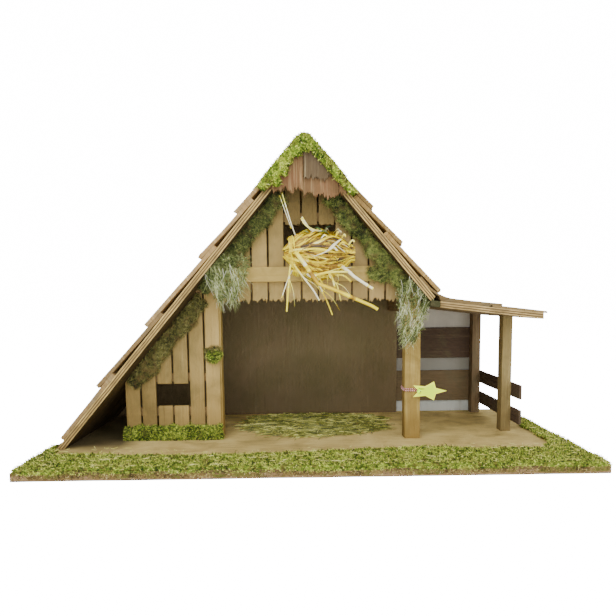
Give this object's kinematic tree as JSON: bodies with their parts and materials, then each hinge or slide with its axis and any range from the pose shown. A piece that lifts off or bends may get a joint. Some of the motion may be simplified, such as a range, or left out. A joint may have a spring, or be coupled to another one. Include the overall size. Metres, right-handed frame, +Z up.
{
  "type": "nativity stable",
  "caption": "Tabletop wooden stable with a steep asymmetric plywood roof, boarded gable over an open room, slatted side wall, open lean-to, moss, straw and a small star.",
  "frame": {"origin": "centre of the underside of the base board", "axes": "+X to the right along the base's length, +Y to the back wall, +Z up; the open gable faces -Y"},
  "size_m": [0.6, 0.32, 0.3581],
  "materials": {
    "base_wood": "unfinished, sanded",
    "plywood": "unfinished plywood",
    "shingle": "weathered, rough",
    "post_wood": "unfinished",
    "inner_timber": "unfinished",
    "slat_wood": "unfinished",
    "hood_bark": "rough bark",
    "dark_board": "stained, matte",
    "pale_sheet": "hardboard, painted pale grey",
    "steel": "zinc plated",
    "moss": "dried moss",
    "ridge_moss": "dried moss",
    "lichen": "dried lichen",
    "hay": "dried hay",
    "straw": "straw",
    "star_paint": "painted, matte",
    "red_cord": "twisted cord"
  },
  "bodies": {
    "root": {"base_board": "base_wood", "back_wall": "dark_board", "left_roof_panel": "plywood", "right_roof_panel": "plywood", "lean_to_roof_panel": "plywood", "ridge_beam": "inner_timber", "eaves_plate": "inner_timber", "valley_strip": "dark_board", "left_shingles_1": "shingle", "left_shingles_2": "shingle", "left_shingles_3": "shingle", "left_shingles_4": "shingle", "left_shingles_5": "shingle", "right_shingles_1": "shingle", "right_shingles_2": "shingle", "right_shingles_3": "shingle", "lean_to_shingles": "shingle", "valley_shingles": "shingle", "left_post": "post_wood", "right_post": "post_wood", "gable_tie": "inner_timber", "loft_batten": "inner_timber", "gable_beam": "post_wood", "wall_slat_1": "slat_wood", "wall_slat_2": "slat_wood", "wall_slat_3": "slat_wood", "wall_slat_4": "slat_wood", "wall_slat_5": "slat_wood", "wall_slat_6": "slat_wood", "window_head_slats": "slat_wood", "wall_battens": "inner_timber", "gable_slats_left": "slat_wood", "loft_slats": "slat_wood", "gable_slats_right": "slat_wood", "lean_to_front_post": "post_wood", "lean_to_rear_post": "post_wood", "upper_side_rail": "dark_board", "lower_side_rail": "dark_board", "upper_back_board": "dark_board", "lower_back_board": "dark_board", "lean_to_back_sheet": "pale_sheet", "hood_board_left": "hood_bark", "hood_board_right": "hood_bark", "hood_board_outer": "hood_bark", "hood_board_over": "hood_bark", "post_screws": "steel", "brads": "steel", "base_moss": "moss", "wall_foot_moss": "moss", "ridge_moss": "ridge_moss", "gable_moss_left": "moss", "gable_moss_right": "moss", "wall_moss": "moss", "lichen_left": "lichen", "lichen_right": "lichen", "floor_hay": "hay", "straw_nest": "straw", "straw_stalks": "straw", "star": "star_paint", "star_cord": "red_cord"}
  },
  "joints": []
}
